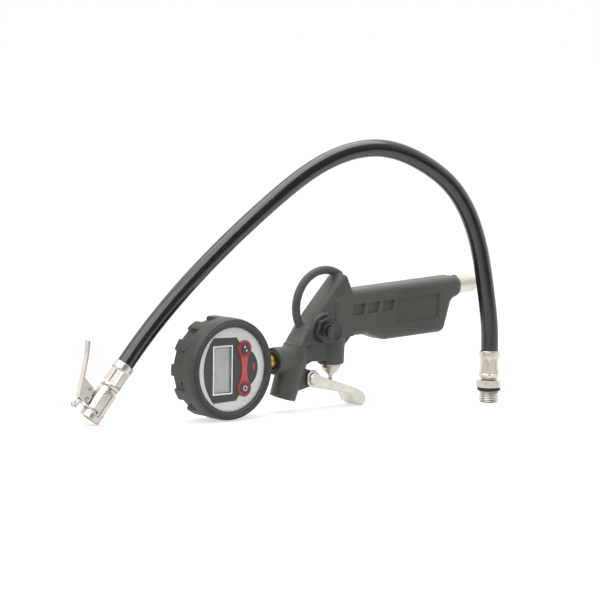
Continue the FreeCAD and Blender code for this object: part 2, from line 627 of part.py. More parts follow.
def face_parts():
    """Silver face plate, dark printed overlay, red button surround and the clear window."""
    plate = new_body("face_plate")
    pushed(plate, lambda sketch: circle(sketch, 0, 0, "case_r - 0.1"), 1.6, out=-1.6)
    pushed(plate, display_opening, 3, kind="Pocket", out=1)
    for along in ("key_y", "-key_y"):
        pushed(plate, lambda sketch: circle(sketch, "key_x", along, "key_r + run_gap"), 3, kind="Pocket", out=1)
    plate.Placement = GAUGE

    overlay = new_body("face_overlay")
    def graphic(sketch):
        outline(sketch, ((-14.6, 21.3, 8.2), (-14.6, -21.3), (4, -20.6), (6.5, -17.2), (15.6, -11.4, 6.2),
                         (15.6, 11.4), (6.5, 17.2), (4, 20.6)))
    pushed(overlay, graphic, 0.25)
    pushed(overlay, display_opening, 3, kind="Pocket", out=1)
    pushed(overlay, lambda sketch: waist(sketch, 0.03), 3, kind="Pocket", out=1)
    for along in ("key_y", "-key_y"):
        pushed(overlay, lambda sketch: circle(sketch, "key_x", along, "key_ring_r + 0.02"), 3, kind="Pocket", out=1)
    overlay.Placement = GAUGE

    surround = new_body("button_surround")
    pushed(surround, waist, 0.8)
    for along in ("key_y", "-key_y"):
        pushed(surround, lambda sketch: circle(sketch, "key_x", along, "key_ring_r"), 0.9)
        pushed(surround, lambda sketch: circle(sketch, "key_x", along, "key_r + run_gap"), 3, kind="Pocket", out=2)
    surround.Placement = GAUGE

    window = new_body("display_window")
    pushed(window, lambda sketch: display_opening(sketch, -0.04), 1.6, out=-1.55)
    window.Placement = GAUGE


def push_key(label, along):
    """One of the two buttons: a round head with a flange under the face plate."""
    return turned_part(label, GAUGE * shift("key_x", along, 0), (
        (0, -2.3), (4.3, -2.3), (4.3, -1.7), ("key_r", -1.7), ("key_r", 1.1), ("key_r - 0.6", 1.6), (0, 1.9)))


def electronics():
    """Display, circuit board with its key switches, pressure sensor, cells and their contact plates."""
    display = new_body("lcd_module")
    pushed(display, lambda sketch: display_opening(sketch, 1), 2.7, out=-4.4)
    display.Placement = GAUGE

    board = new_body("circuit_board")
    pushed(board, lambda sketch: circle(sketch, 0, 0, 26), 1.5, out=-6)
    board.Placement = GAUGE

    switches = []
    for along in ("key_y", "-key_y"):
        switch = new_body("tact_switch")
        pushed(switch, lambda sketch: rectangle(sketch, -3, -3, 3, 3), 1.4, out=-4.49)
        switch.Placement = shift("key_x", along, 0)
        switches.append(switch)
    group("tact_switches", switches, GAUGE)

    turned_part("pressure_sensor", STEM, ((0, 9.4), (4.2, 9.4), (5, 10), (5, 14.99), (0, 14.99)))

    cells = []
    contacts = []
    for across in (1.85, -8.85):
        end = "-cell_len / 2"
        cells.append(turned_part("battery_cell", shift(across, 0, -12.2, SIDE, -90), (
            (0, end), ("cell_r", end), ("cell_r", "cell_len / 2 - 1"), (2, "cell_len / 2 - 1"),
            (2, "cell_len / 2"), (0, "cell_len / 2"))))
        for side in (-1, 1):
            plate = new_body("contact_plate")
            pushed(plate, lambda sketch: rectangle(sketch, -3.5, -3.5, 3.5, 3.5), 0.4)
            rise = "%d * (cell_len / 2 + %s)" % (side, 0.01 if side > 0 else 0.41)
            plate.Placement = shift(across, 0, -12.2, SIDE, -90) * shift(0, 0, rise)
            contacts.append(plate)
    group("battery_cells", cells, GAUGE)
    group("battery_contacts", contacts, GAUGE)


def gauge_stem():
    """Brass stem that carries the gauge and leads the pressure to the sensor."""
    turned_part("gauge_stem", STEM, (
        (1.5, 15), (5.8, 15), (5.8, 24), ("stem_r", 24.2), ("stem_r", 30.6), ("neck_r", 31.2),
        ("neck_r", "socket_x + 2.6"), ("stem_r", "socket_x + 3.2"), ("stem_r", "stem_end - 1"),
        ("stem_r - 1", "stem_end"), (1.5, "stem_end")))
    ring_seal("socket_seal", STEM * shift(0, 0, "socket_x + 0.8"), 6.25, 1.35)


# ---------------------------------------------------------------- hose assembly

HOSE_WAY = ((73.4, 97.9), (123.8, 141), (172.8, 170.1), (203, 174.1), (236.2, 163), (257.4, 147.2), (278.7, 106.3),
            (285.3, 72.5))


def hose_line(start_along, end_up):
    """Centreline of the hose: out of the chuck, up over the gun and straight down to the end fitting."""
    to_start = (CHUCK * shift(0, 0, start_along)).inverse() * HOSE
    start = Vector(0, 0, 0)
    spots = [to_start.multVec(Vector(across, 0, up)) for across, up in HOSE_WAY]
    straight = Vector(0, 0, number("chuck_len + ferrule_len + 4") - start_along)
    foot = to_start.multVec(Vector(number("hose_span"), 0, number("thread_len + ferrule_len + 12")))
    end = to_start.multVec(Vector(number("hose_span"), 0, end_up))
    lead = (straight - start).normalize()
    fall = (end - foot).normalize()
    curve = Part.BSplineCurve()
    curve.interpolate(Points=[straight] + spots + [foot], InitialTangent=lead * 1.0, FinalTangent=fall * 1.0)
    return start, straight, curve, foot, end


def hose_tube(label, outer, inner, start_along, end_up):
    """A tube swept along the hose's centreline."""
    body = new_body(label)
    path = sketch_on(body, "XZ_Plane")
    start, straight, curve, foot, end = hose_line(start_along, end_up)
    flat = Rotation(Vector(1, 0, 0), -90)
    for piece in (Part.LineSegment(start, straight), curve, Part.LineSegment(foot, end)):
        piece.rotate(Placement(Vector(0, 0, 0), flat))
        path.addGeometry(piece, False)
    ring = sketch_on(body, "XY_Plane")
    circle(ring, 0, 0, outer)
    circle(ring, 0, 0, inner)
    pipe = body.newObject("PartDesign::AdditivePipe", "Tube")
    pipe.Profile = ring
    pipe.Spine = path
    body.Placement = CHUCK * shift(0, 0, start_along)
    doc.recompute()
    return body


def ferrule(label, frame):
    """Sleeve crimped on to the hose: a ring of flats between two plain bands."""
    body = new_body(label)
    turned(body, (("hose_r + 0.03", 1.5), ("hose_r + 0.03", "ferrule_len"), ("ferrule_r - 0.3", "ferrule_len"),
                  ("ferrule_r", "ferrule_len - 0.4"), ("ferrule_r", 1.6), ("ferrule_r - 0.8", 0.8),
                  ("ferrule_r - 0.8", 0), (3.5, 0), (3.5, 1.5)))
    flat = pushed(body, lambda sketch: rectangle(sketch, -2.1, 3.6, 2.1, "ferrule_len - 3.6"), 3, kind="Pocket",
                  role="XZ_Plane", out="ferrule_r - 0.55", back=True)
    pattern = body.newObject("PartDesign::PolarPattern", "Crimps")
    pattern.Originals = [flat]
    pattern.Axis = (next(item for item in body.Origin.OriginFeatures if item.Role == "Z_Axis"), [""])
    pattern.Angle = 360
    pattern.Occurrences = 8
    body.Tip = pattern
    body.Placement = frame
    doc.recompute()
    return body


def end_fitting():
    """Threaded end that screws into the gun's outlet, with its hexagon and hose tail."""
    body = turned_part("end_fitting", TAIL, (
        (2.6, 0), ("thread_r - 1", 0), ("thread_r", 1), ("thread_r", "thread_len - 0.8"),
        (5.4, "thread_len - 0.8"), (5.4, "thread_len + 1.9"), (9.4, "thread_len + 1.9"),
        (9.4, "thread_len + 6.7"), (6.2, "thread_len + 6.9"), (6.2, "thread_len + 8.1"), (3.4, "thread_len + 8.1"),
        (3.4, 32), (2.6, 32)))
    def flats(sketch):
        circle(sketch, 0, 0, 14)
        hexagon(sketch, 15.6)
    pushed(body, flats, 5.3, kind="Pocket", out="thread_len + 6.8")
    ring_seal("end_seal", TAIL * shift(0, 0, "thread_len + 0.55"), 6.75, 1.3)
    return body


def chuck_body():
    """Nickel-plated body: mouth for the tyre valve, slot for the jaw, lug for the lever pin."""
    body = new_body("chuck_body")
    turned(body, (("valve_hole_r", 0.5), ("valve_hole_r + 0.5", 0), ("chuck_r - 0.5", 0), ("chuck_r", 0.5),
                  ("chuck_r", "chuck_len - 0.6"), ("chuck_r - 0.6", "chuck_len"), (5.6, "chuck_len"), (5.6, 9),
                  ("valve_hole_r", 9)))
    pushed(body, lambda sketch: outline(sketch, ((-6.2, 7.2), ("grip_x - 1", 7.2), ("grip_x - 2", 8.2),
                                                 ("grip_x - 2", 10.4), ("grip_x - 1", 11.4), (-6.2, 13.5))),
           4.4, role="XZ_Plane", side="Symmetric")
    pushed(body, lambda sketch: circle(sketch, "grip_x", "grip_z", 1.02), 10, kind="Pocket", role="XZ_Plane",
           side="Symmetric")
    for back, out in ((True, 6.3), (False, -6.3)):
        pushed(body, lambda sketch: rectangle(sketch, -8, 3.4, 2.4, 20.4), 3, kind="Pocket", role="XZ_Plane",
               out=out, back=back)
    pushed(body, lambda sketch: rectangle(sketch, -9, -5.4, 6, 5.4), 1.8, kind="Pocket", out=6.5)
    pushed(body, lambda sketch: rectangle(sketch, -8, -8, 0.3, 8), 1.8, kind="Pocket", out=6.5)
    body.Placement = CHUCK
    return body


def chuck_jaw():
    """Sliding plate with a hole round the valve and two prongs outside for the lever to pull."""
    body = new_body("chuck_jaw")
    pushed(body, lambda sketch: outline(sketch, ((5, -5.2), (5, 5.2), (-9.5, 5.2), (-11, 3.6), (-14, 3.6),
                                                 (-14, -3.6), (-11, -3.6), (-9.5, -5.2))), 1.5, out=4.85)
    pushed(body, lambda sketch: rectangle(sketch, -14, -3.6, -12.7, 3.6), 4.6, out=4.9, back=True)
    pushed(body, lambda sketch: rectangle(sketch, -15.6, -3.6, -13.9, 3.6), 1.2, out=1.4)
    pushed(body, lambda sketch: rectangle(sketch, -17, -1.5, -12.5, 1.5), 4.5, kind="Pocket", out=4.4)
    pushed(body, lambda sketch: circle(sketch, 0, 0, "valve_hole_r + 0.1"), 4, kind="Pocket", out=7)
    body.Placement = CHUCK
    return body


def chuck_lever():
    """Pressed thumb lever: a narrow strip with two triangular cheeks that hold the pin."""
    body = new_body("chuck_lever")
    strip = ((-15.2, 7), (-20.9, 20.6), (-26.3, 32), (-30.6, 38.6), (-31.4, 40.2), (-30.2, 40.4), (-29.2, 39.4),
             (-24.9, 32), (-19.4, 20.4), (-13.8, 7))
    pushed(body, lambda sketch: outline(sketch, strip), 6.2, role="XZ_Plane", side="Symmetric")
    cheek = ((-14.9, 7.2), (-20.2, 20), (-9.7, 17.6), (-7.9, 11), (-7.9, 8.2), (-9.6, 7), (-12.4, 6.6))
    pushed(body, lambda sketch: outline(sketch, cheek), 6.2, role="XZ_Plane", side="Symmetric")
    inside = ((-13.6, 6), (-19.2, 20.2), (-18.5, 22), (-5, 18), (-5, 6))
    pushed(body, lambda sketch: outline(sketch, inside), 4.6, kind="Pocket", role="XZ_Plane", side="Symmetric")
    pushed(body, lambda sketch: circle(sketch, -11.8, 15.5, 1), 10, kind="Pocket", role="XZ_Plane", side="Symmetric")
    pushed(body, lambda sketch: circle(sketch, "grip_x", "grip_z", "1 + run_gap"), 10, kind="Pocket",
           role="XZ_Plane", side="Symmetric")
    body.Placement = CHUCK
    return body


def chuck_inside():
    """Hose tail, rubber seal, valve depressor, lever pin and the lever's spring."""
    turned_part("chuck_tail", CHUCK, (
        (2.6, 14.2), (5.58, 14.2), (5.58, "chuck_len"), (6.4, "chuck_len + 0.02"), (6.4, "chuck_len + 1.6"),
        (3.4, "chuck_len + 1.6"), (3.4, 39), (2.6, 39)))
    turned_part("chuck_seal", CHUCK, ((2.6, 9.02), (5.58, 9.02), (5.58, 12), (4.4, 12.4), (2.6, 11.4)))
    depressor = turned_part("valve_depressor", CHUCK, ((0, 9.8), (0.8, 9.8), (1, 12.5), (5.5, 12.5), (5.5, 14.15),
                                                       (0, 14.15)))
    for turn in range(0, 360, 90):
        pushed(depressor, lambda sketch: circle(sketch, 3.2, 0, 1.1), 3, kind="Pocket", out=15, turn=turn)
    turned_part("chuck_pin", GRIP, ((0, -4), (1.5, -3.9), (1.5, -3.15), (1, -3.15), (1, 3.15), (1.5, 3.15),
                                    (1.5, 3.9), (0, 4)))
    coil("lever_spring", CHUCK * shift("-chuck_r - 0.35", 0, 15.2, DEEP, -90), 1.4, 0.25, 7, 1.4)


# ---------------------------------------------------------------- build, check and write

gun_body()
trigger_lever()
trigger_pin()
pin_clip()
valve_gland()
valve_parts()
deflate_valve()
inlet_parts()
gauge_boot()
gauge_case()
back_cover()
cover_screws()
face_parts()
push_key("mode_button", "key_y")
push_key("power_button", "-key_y")
electronics()
gauge_stem()
hose_tube("hose_cover", "hose_r", "liner_r + 0.01", 24.9, number("thread_len + 10"))
hose_tube("hose_liner", "liner_r", "hose_bore", 24.9, number("thread_len + 10"))
ferrule("chuck_ferrule", CHUCK * shift(0, 0, "chuck_len + 1.65"))
ferrule("end_ferrule", TAIL * shift(0, 0, "thread_len + 8.15"))
end_fitting()
chuck_body()
chuck_jaw()
chuck_lever()
chuck_inside()
doc.recompute()

INNER_BODIES = ("handle_block", "cover_screw", "tact_switch", "battery_cell", "contact_plate")
PIECE_TYPES = ("PartDesign::Body", "Part::Torus", "Part::Compound")
GROUPS = ("cover_screws", "tact_switches", "battery_cells")


def pieces():
    """Every sub-part that becomes a node, leaving out the bodies that only build another one."""
    for item in doc.Objects:
        helper = item.Label.startswith(INNER_BODIES) and item.Label not in GROUPS
        if item.TypeId in PIECE_TYPES and not helper:
            yield item


for item in doc.Objects:
    if "Invalid" in item.State or "Error" in item.State:
        raise RuntimeError("%s failed: %s" % (item.Label, item.State))
for item in pieces():
    if item.Shape.isNull() or not item.Shape.isValid():
        raise RuntimeError("%s has no valid shape" % item.Label)
os.makedirs("parts", exist_ok=True)
for item in pieces():
    item.Shape.exportStep("parts/%s.step" % item.Label)
    print("%-18s %8.0f mm3 %s" % (item.Label, item.Shape.Volume, item.Shape.BoundBox))
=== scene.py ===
"""Looks for the tyre inflator: materials, soft castings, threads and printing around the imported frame."""
import json
import math

import bmesh
import bpy
from mathutils import Matrix, Vector


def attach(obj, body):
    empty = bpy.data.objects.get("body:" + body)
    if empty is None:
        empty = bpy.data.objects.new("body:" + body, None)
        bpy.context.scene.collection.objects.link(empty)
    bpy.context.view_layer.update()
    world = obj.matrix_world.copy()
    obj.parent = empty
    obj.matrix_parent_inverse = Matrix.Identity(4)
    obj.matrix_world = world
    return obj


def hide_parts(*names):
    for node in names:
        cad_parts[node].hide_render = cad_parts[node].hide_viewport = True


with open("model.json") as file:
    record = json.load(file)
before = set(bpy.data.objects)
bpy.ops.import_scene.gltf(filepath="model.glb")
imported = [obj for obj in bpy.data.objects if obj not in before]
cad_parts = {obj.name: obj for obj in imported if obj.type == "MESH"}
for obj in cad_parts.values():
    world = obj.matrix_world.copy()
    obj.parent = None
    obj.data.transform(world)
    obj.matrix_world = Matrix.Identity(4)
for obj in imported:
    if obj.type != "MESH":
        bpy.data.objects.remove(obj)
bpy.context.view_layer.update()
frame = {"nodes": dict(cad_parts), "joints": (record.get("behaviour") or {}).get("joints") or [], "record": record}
NODES = frame["nodes"]
MM = 0.001


# ---------------------------------------------------------------- places, worked out from the frame

def shift(x=0.0, y=0.0, z=0.0, axis=None, angle=0.0):
    """A move by millimetres, with a turn in degrees about an axis."""
    move = Matrix.Translation(Vector((x, y, z)) * MM)
    return move @ Matrix.Rotation(math.radians(angle), 4, axis) if axis else move


def joint(name):
    return next(item for item in frame["joints"] if item["name"] == name)


# All in millimetres and degrees. The gun is measured from the gauge's middle, the hose from its chuck end.
PIVOT_ALONG = 74.4           # trigger pin, along the gun
FACE_FRONT, FACE_HIGH = -12, 33.4      # the gauge's face plate
HOSE_START, HOSE_TURN, HOSE_SPAN = (-81.4, 24.6, 0), -14.05, 288.6
CHUCK_START, CHUCK_TILT = (-5.2, 0, 4.045), 36.5
VIEW_AZIMUTH, VIEW_RISE, VIEW_ROLL = (math.radians(turn) for turn in (-40.2, 6.2, 0.7))
THREAD_R, THREAD_LEN, THREAD_PITCH = 6.58, 8.3, 1.337
FERRULE_LEN = 18.7
FERRULE_FOOT = THREAD_LEN + 8.15       # where the end ferrule starts above the end fitting's tip

pivot = Vector(joint("trigger_pivot")["pos_m"]) / MM
GUN = shift(pivot.x - PIVOT_ALONG, pivot.y, 0)
GAUGE = GUN @ shift(0, FACE_FRONT, FACE_HIGH, "X", 90)
HOSE = GUN @ shift(*HOSE_START) @ shift(axis="Z", angle=HOSE_TURN)
TAIL = HOSE @ shift(HOSE_SPAN)
CHUCK = HOSE @ shift(*CHUCK_START, "Y", CHUCK_TILT)
LEVEL_BACK = Vector((math.sin(VIEW_AZIMUTH), -math.cos(VIEW_AZIMUTH), 0))   # level, towards the camera


# ---------------------------------------------------------------- material helpers

class Shader:
    """A node tree under construction: every call adds a node and returns its output."""

    def __init__(self, name):
        self.material = bpy.data.materials.new(name)
        self.material.use_nodes = True
        self.tree = self.material.node_tree
        self.surface = self.tree.nodes["Principled BSDF"]
        self.place = self.tree.nodes.new("ShaderNodeTexCoord").outputs["Object"]

    def add(self, kind, **inputs):
        node = self.tree.nodes.new("ShaderNode" + kind)
        for key, value in inputs.items():
            self.feed(node.inputs[key], value)
        return node.outputs[0]

    def feed(self, target, value):
        if isinstance(value, bpy.types.NodeSocket):
            self.tree.links.new(value, target)
        else:
            target.default_value = value

    def noise(self, size_mm, detail=3.0, rough=0.55):
        """Grain whose features are about this many millimetres across, from 0 to 1."""
        return self.add("TexNoise", Vector=self.place, Scale=1000.0 / size_mm, Detail=detail, Roughness=rough)

    def ramp(self, value, low, high, start=0.0, end=1.0):
        """Maps value from low..high to start..end, smoothly."""
        node = self.tree.nodes.new("ShaderNodeMapRange")
        node.interpolation_type = "SMOOTHSTEP"
        for key, item in (("Value", value), ("From Min", low), ("From Max", high), ("To Min", start),
                          ("To Max", end)):
            self.feed(node.inputs[key], item)
        return node.outputs["Result"]

    def mix(self, amount, first, second):
        node = self.tree.nodes.new("ShaderNodeMix")
        node.data_type = "RGBA"
        self.feed(node.inputs["Factor"], amount)
        self.feed(node.inputs["A"], first)
        self.feed(node.inputs["B"], second)
        return node.outputs["Result"]

    def maths(self, operation, first, second):
        node = self.tree.nodes.new("ShaderNodeMath")
        node.operation = operation
        self.feed(node.inputs[0], first)
        self.feed(node.inputs[1], second)
        return node.outputs[0]

    def edges(self, radius_mm):
        """1 on sharp outer edges, 0 on flat surface: where finish wears first."""
        soft = self.tree.nodes.new("ShaderNodeBevel")
        soft.samples = 8
        soft.inputs["Radius"].default_value = radius_mm * MM
        plain = self.tree.nodes.new("ShaderNodeNewGeometry")
        dot = self.tree.nodes.new("ShaderNodeVectorMath")
        dot.operation = "DOT_PRODUCT"
        self.tree.links.new(soft.outputs["Normal"], dot.inputs[0])
        self.tree.links.new(plain.outputs["Normal"], dot.inputs[1])
        return self.ramp(dot.outputs["Value"], 0.97, 0.8)

    def corner_shade_mask(self, reach_mm, dark):
        """Mask for painted shade: 1 on open surface, falling to the dark value in corners and gaps narrower than
        the reach.
        """
        node = self.tree.nodes.new("ShaderNodeAmbientOcclusion")
        node.samples = 16
        node.inputs["Distance"].default_value = reach_mm * MM
        return self.ramp(node.outputs["AO"], 0.35, 0.9, dark, 1.0)

    def shaded(self, color, reach_mm, dark):
        """The colour darkened by painted shade in corners and gaps."""
        return self.mix(self.corner_shade_mask(reach_mm, dark), (0.004, 0.004, 0.0035, 1), color)

    def bump(self, height, depth_mm, strength, soft_mm):
        """Raises the surface by the height; with soft_mm, sharp edges also catch the light as if rounded."""
        node = self.tree.nodes.new("ShaderNodeBump")
        node.inputs["Strength"].default_value = strength
        node.inputs["Distance"].default_value = depth_mm * MM
        self.feed(node.inputs["Height"], height)
        if soft_mm:
            bevel = self.tree.nodes.new("ShaderNodeBevel")
            bevel.samples = 4
            bevel.inputs["Radius"].default_value = soft_mm * MM
            self.tree.links.new(bevel.outputs["Normal"], node.inputs["Normal"])
        self.tree.links.new(node.outputs["Normal"], self.surface.inputs["Normal"])

    def finish(self, color, roughness, metallic=0.0, **more):
        self.feed(self.surface.inputs["Base Color"], color)
        self.feed(self.surface.inputs["Roughness"], roughness)
        self.surface.inputs["Metallic"].default_value = metallic
        for key, value in more.items():
            self.feed(self.surface.inputs[key.replace("_", " ")], value)
        return self.material


def grey(value):
    return (value, value, value, 1.0)


# ---------------------------------------------------------------- materials

def cast_paint():
    """Matte dark paint on a die casting: fine orange peel, cloudy tone, paler dust specks, rubbed edges."""
    shader = Shader("cast_paint")
    cloud = shader.noise(26, 4)
    speck = shader.noise(0.7, 2)
    color = shader.mix(shader.ramp(cloud, 0.35, 0.7), (0.062, 0.065, 0.057, 1), (0.074, 0.077, 0.068, 1))
    color = shader.mix(shader.ramp(speck, 0.62, 0.76, 0, 0.3), color, (0.10, 0.104, 0.092, 1))
    color = shader.mix(shader.maths("MULTIPLY", shader.edges(0.6), 0.25), color, (0.15, 0.152, 0.14, 1))
    # painted shade: darker in corners, recesses and gaps
    color = shader.shaded(color, 1.8, 0.15)
    grain = shader.maths("ADD", shader.noise(0.6, 3), shader.maths("MULTIPLY", shader.noise(2.6, 2), 0.8))
    shader.bump(grain, 0.06, 0.45, 0.4)
    rough = shader.ramp(cloud, 0.3, 0.7, 0.44, 0.54)
    return shader.finish(color, rough, Specular_IOR_Level=0.42)


def boot_rubber():
    """Moulded rubber: fine spark-eroded texture, dusty and slightly shiny where handled."""
    shader = Shader("boot_rubber")
    cloud = shader.noise(15, 4)
    color = shader.mix(shader.ramp(cloud, 0.35, 0.7), (0.038, 0.040, 0.035, 1), (0.049, 0.051, 0.045, 1))
    color = shader.mix(shader.maths("MULTIPLY", shader.edges(0.7), 0.3), color, (0.11, 0.11, 0.10, 1))
    # painted shade: darker in corners, recesses and gaps
    color = shader.shaded(color, 2.0, 0.2)
    shader.bump(shader.noise(0.45, 2), 0.03, 0.4, 0.4)
    return shader.finish(color, shader.ramp(cloud, 0.3, 0.7, 0.44, 0.56), Specular_IOR_Level=0.4)


def plated(name, tone, rough, grain=0.0):
    """Bright nickel over a machined or cast skin: faint cloud, dulled spots, polished edges."""
    shader = Shader(name)
    cloud = shader.noise(7, 3)
    dark = tuple(part * 0.88 for part in tone) + (1,)
    color = shader.mix(shader.ramp(cloud, 0.35, 0.7), dark, tone + (1,))
    color = shader.mix(shader.maths("MULTIPLY", shader.edges(0.3), 0.3), color, (0.93, 0.89, 0.82, 1))
    # painted shade: darker in corners, creases and gaps
    color = shader.shaded(color, 1.3, 0.12)
    height = shader.maths("ADD", shader.noise(0.9, 2), shader.maths("MULTIPLY", cloud, grain))
    shader.bump(height, 0.008, 0.14, 0)
    level = shader.ramp(shader.noise(2.2, 3), 0.3, 0.7, rough - 0.04, rough + 0.06)
    return shader.finish(color, level, 1.0)


def brass():
    """Turned brass, a little uneven in colour."""
    shader = Shader("brass_turned")
    cloud = shader.noise(3, 3)
    color = shader.mix(shader.ramp(cloud, 0.3, 0.7), (0.74, 0.42, 0.10, 1), (0.88, 0.56, 0.17, 1))
    shader.bump(shader.noise(0.5, 2), 0.006, 0.3, 0.2)
    return shader.finish(color, shader.ramp(cloud, 0.3, 0.7, 0.24, 0.36), 1.0)


def black_finish(name, value, rough):
    """Black oxide or hard black plastic with a faint tooling grain and greyed edges."""
    shader = Shader(name)
    cloud = shader.noise(4, 3)
    color = shader.mix(shader.ramp(cloud, 0.3, 0.7), grey(value), grey(value * 1.5))
    color = shader.mix(shader.maths("MULTIPLY", shader.edges(0.3), 0.3), color, grey(value * 5))
    shader.bump(shader.noise(0.6, 2), 0.015, 0.3, 0.25)
    return shader.finish(color, shader.ramp(cloud, 0.3, 0.7, rough - 0.05, rough + 0.08),
                         Specular_IOR_Level=0.45)


def hose_rubber():
    """Glossy extruded rubber: faint ripple of the braid below, light dust and small scuffs."""
    shader = Shader("hose_rubber")
    cloud = shader.noise(12, 4)
    scuff = shader.ramp(shader.noise(2.2, 5, 0.7), 0.64, 0.74)
    color = shader.mix(shader.ramp(cloud, 0.3, 0.75), (0.004, 0.004, 0.0036, 1), (0.008, 0.008, 0.0072, 1))
    color = shader.mix(shader.maths("MULTIPLY", scuff, 0.3), color, (0.05, 0.05, 0.046, 1))
    ripple = shader.maths("ADD", shader.noise(1.1, 2), shader.maths("MULTIPLY", shader.noise(3.4, 2), 1.2))
    shader.bump(ripple, 0.05, 0.22, 0)
    rough = shader.ramp(cloud, 0.3, 0.7, 0.15, 0.20)
    rough = shader.maths("ADD", rough, shader.maths("MULTIPLY", scuff, 0.12))
    return shader.finish(color, rough, Specular_IOR_Level=0.9)


def face_silver():
    """Satin silver printed plate with a very fine metallic grain."""
    shader = Shader("face_silver")
    grain = shader.noise(0.35, 2)
    color = shader.mix(shader.ramp(grain, 0.3, 0.7), (0.62, 0.62, 0.635, 1), (0.71, 0.71, 0.725, 1))
    shader.bump(grain, 0.008, 0.3, 0)
    return shader.finish(color, 0.45, 0.25)


def dark_ink_and_shadow():
    """Dark grey ink on film; the same material also colours the painted shadow strip round the display."""
    shader = Shader("dark_ink_and_shadow")
    grain = shader.noise(0.5, 2)
    color = shader.mix(shader.ramp(grain, 0.3, 0.7), (0.052, 0.053, 0.058, 1), (0.066, 0.067, 0.072, 1))
    shader.bump(grain, 0.006, 0.25, 0.1)
    return shader.finish(color, shader.ramp(grain, 0.3, 0.7, 0.42, 0.5), Specular_IOR_Level=0.3)


def moulded(name, color_low, color_high, rough=0.42):
    """Small glossy moulding with slight colour mottle and soft edges."""
    shader = Shader(name)
    cloud = shader.noise(3, 3)
    color = shader.mix(shader.ramp(cloud, 0.3, 0.7), color_low + (1,), color_high + (1,))
    shader.bump(shader.noise(0.5, 2), 0.02, 0.3, 0.2)
    return shader.finish(color, shader.ramp(cloud, 0.3, 0.7, rough - 0.04, rough + 0.05))


def lcd_glass():
    """Grey liquid crystal: a faint sheen and mottled backing."""
    shader = Shader("lcd_glass")
    cloud = shader.noise(9, 2)
    color = shader.mix(shader.ramp(cloud, 0.3, 0.7), (0.74, 0.75, 0.72, 1), (0.80, 0.81, 0.78, 1))
    return shader.finish(color, shader.ramp(shader.noise(1.0, 2), 0.3, 0.7, 0.22, 0.3))


def clear_window():
    """Clear acrylic with a trace of haze."""
    shader = Shader("clear_window")
    haze = shader.noise(5, 3)
    rough = shader.ramp(haze, 0.4, 0.8, 0.02, 0.09)
    return shader.finish((0.93, 0.95, 0.94, 1), rough, Transmission_Weight=1.0, IOR=1.45)


def floor_white():
    """White paper, lit round the object and plain white further out; metal in front sees it darker."""
    shader = Shader("floor_white")
    cloud = shader.noise(300, 2)
    color = shader.mix(cloud, (0.90, 0.90, 0.90, 1), (0.93, 0.93, 0.93, 1))
    shader.finish(color, 0.85, Specular_IOR_Level=0.2)
    distance = shader.tree.nodes.new("ShaderNodeVectorMath")
    distance.operation = "LENGTH"
    shader.tree.links.new(shader.place, distance.inputs[0])
    seen = shader.tree.nodes.new("ShaderNodeLightPath").outputs["Is Camera Ray"]
    ahead = shader.tree.nodes.new("ShaderNodeVectorMath")
    ahead.operation = "DOT_PRODUCT"
    shader.feed(ahead.inputs[0], shader.place)
    ahead.inputs[1].default_value = LEVEL_BACK
    bounced = shader.ramp(ahead.outputs["Value"], -0.05, 0.45, 0.95, 0.13)
    glow = shader.add("Emission", Color=(1, 1, 1, 1), Strength=shader.ramp(seen, 0, 1, bounced, 1.05))
    blend = shader.tree.nodes.new("ShaderNodeMixShader")
    shader.feed(blend.inputs["Fac"], shader.ramp(distance.outputs["Value"], 0.3, 0.75, 0.6, 1.0))
    shader.tree.links.new(shader.surface.outputs["BSDF"], blend.inputs[1])
    shader.tree.links.new(glow, blend.inputs[2])
    shader.tree.links.new(blend.outputs[0], shader.tree.nodes["Material Output"].inputs["Surface"])
    return shader.material


NICKEL = plated("nickel_plate", (0.70, 0.655, 0.585), 0.31, 0.5)
LEVER = plated("nickel_cast", (0.78, 0.74, 0.68), 0.36, 0.8)
STEEL = plated("steel_bright", (0.60, 0.60, 0.59), 0.28)
SPRING = plated("spring_wire", (0.42, 0.42, 0.42), 0.35)
CAST = cast_paint()
RUBBER = boot_rubber()
BRASS = brass()
BLACK = black_finish("black_oxide", 0.022, 0.36)
SEAL = black_finish("seal_rubber", 0.010, 0.5)
CASE = black_finish("case_plastic", 0.02, 0.45)
FINISH = {
    "cast_grey": CAST, "boot_rubber": RUBBER, "nickel": NICKEL, "steel": STEEL, "spring_steel": SPRING,
    "brass": BRASS, "black_plating": BLACK, "seal_rubber": SEAL, "hose_rubber": hose_rubber(),
    "liner_rubber": SEAL, "silver_face": face_silver(), "dark_print": dark_ink_and_shadow(),
    "red_surround": moulded("red_surround", (0.43, 0.058, 0.052), (0.50, 0.082, 0.072), 0.4),
    "key_rubber": moulded("key_rubber", (0.048, 0.040, 0.042), (0.065, 0.052, 0.054), 0.5),
    "clear_window": clear_window(), "lcd": lcd_glass(), "case_plastic": CASE,
    "board": moulded("board_mask", (0.02, 0.12, 0.05), (0.03, 0.17, 0.07)),
    "cell_wrap": moulded("cell_wrap", (0.05, 0.07, 0.11), (0.08, 0.10, 0.15), 0.3),
}


def paint(piece, material):
    piece.data.materials.clear()
    piece.data.materials.append(material)


for entry in frame["record"]["subparts"]:
    if entry["node"] in NODES:
        paint(NODES[entry["node"]], FINISH[entry["material_slot"]])
for name in ("trigger_lever", "chuck_jaw"):
    paint(NODES[name], LEVER)


# ---------------------------------------------------------------- shaping helpers

def smooth(piece, angle=35):
    """Rounded surfaces shade smoothly; edges sharper than the angle stay crisp."""
    mesh = piece.data
    mesh.shade_smooth()
    mesh.set_sharp_from_angle(angle=math.radians(angle))


def new_piece(name, mesh, body, material):
    piece = bpy.data.objects.new(name, mesh)
    bpy.context.scene.collection.objects.link(piece)
    paint(piece, material)
    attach(piece, body)
    return piece


def apply_modifiers(piece):
    """Swaps the mesh for its own modified result."""
    bpy.context.view_layer.update()
    shaped = piece.evaluated_get(bpy.context.evaluated_depsgraph_get())
    mesh = bpy.data.meshes.new_from_object(shaped)
    piece.modifiers.clear()
    piece.data = mesh


